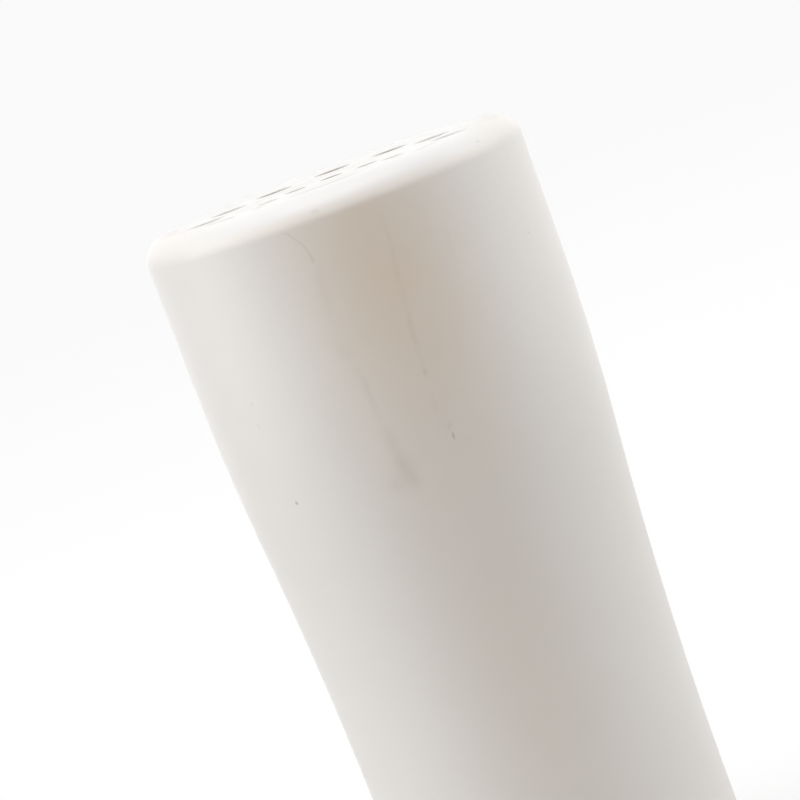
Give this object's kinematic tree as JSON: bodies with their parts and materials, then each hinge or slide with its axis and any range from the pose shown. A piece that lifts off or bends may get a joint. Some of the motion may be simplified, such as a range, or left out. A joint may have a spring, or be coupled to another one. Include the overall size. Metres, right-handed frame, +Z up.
{
  "type": "pepper mill",
  "caption": "White waisted twist mill: perforated, stepped shaker top, turning head that lifts off a clear hopper, ceramic burrs and a grind adjuster below.",
  "frame": {"origin": "centre of the foot ring on the surface the mill stands on", "axes": "+Z up along the column, towards the perforated top; one hole of each ring lies on +X"},
  "size_m": [0.05, 0.05, 0.171],
  "materials": {
    "white_body": "satin moulded plastic, slightly soiled",
    "inner_white": "plain moulded plastic",
    "bearing_plastic": "smooth low-friction plastic",
    "clear_tube": "clear moulded plastic",
    "mechanism_plastic": "dark moulded plastic",
    "soft_black": "matt elastomer",
    "soft_pale": "matt silicone",
    "burr_ceramic": "unglazed sintered ceramic",
    "steel": "drawn stainless steel",
    "ball_steel": "polished steel",
    "socket_brass": "turned brass"
  },
  "bodies": {
    "base": {"base_shell": "white_body", "foot_ring": "soft_black", "hopper_tube": "clear_tube", "neck_bush": "bearing_plastic", "grip_ring": "soft_black", "ring_clip": "steel", "shaft_guide": "mechanism_plastic", "burr_housing": "mechanism_plastic", "housing_screws": "steel", "stator_burr": "burr_ceramic", "bridge": "mechanism_plastic", "bridge_screws": "steel", "adjuster_pins": "steel", "burr_spring": "steel"},
    "slip_ring": {"slip_ring": "bearing_plastic"},
    "head": {"head_shell": "white_body", "salt_floor": "inner_white", "floor_seal": "soft_pale", "floor_screws": "steel", "drive_socket": "socket_brass"},
    "salt_plug": {"salt_plug": "soft_pale"},
    "adjuster": {"grind_adjuster": "mechanism_plastic"},
    "thrust_pin": {"thrust_pin": "steel", "thrust_ball": "ball_steel"},
    "drive": {"drive_shaft": "steel", "rotor_burr": "burr_ceramic", "shaft_clip": "steel", "spring_washer": "steel"}
  },
  "joints": [
    {"name": "head_twist", "type": "hinge", "parent": "base", "child": "slip_ring", "pos_m": [0, 0, 0.068], "axis": [0, 0, 1], "continuous": true},
    {"name": "head_lift", "type": "slide", "parent": "slip_ring", "child": "head", "axis": [0, 0, 1], "range_m": [0, 0.07]},
    {"name": "plug_pull", "type": "slide", "parent": "head", "child": "salt_plug", "axis": [0, 0, -1], "range_m": [0, 0.008]},
    {"name": "adjuster_turn", "type": "hinge", "parent": "base", "child": "adjuster", "pos_m": [0, 0, 0.004], "axis": [0, 0, 1], "range_deg": [0, 360]},
    {"name": "grind_gap", "type": "slide", "parent": "base", "child": "thrust_pin", "axis": [0, 0, -1], "range_m": [0, 0.001], "deforming": ["burr_spring"]},
    {"name": "shaft_spin", "type": "hinge", "parent": "thrust_pin", "child": "drive", "pos_m": [0, 0, 0.0168], "axis": [0, 0, 1], "continuous": true}
  ],
  "couplings": [
    {"joint": "adjuster_turn", "follows": "grind_gap", "rad_per_m": 6283.2},
    {"joint": "shaft_spin", "follows": "head_twist", "ratio": 1}
  ]
}
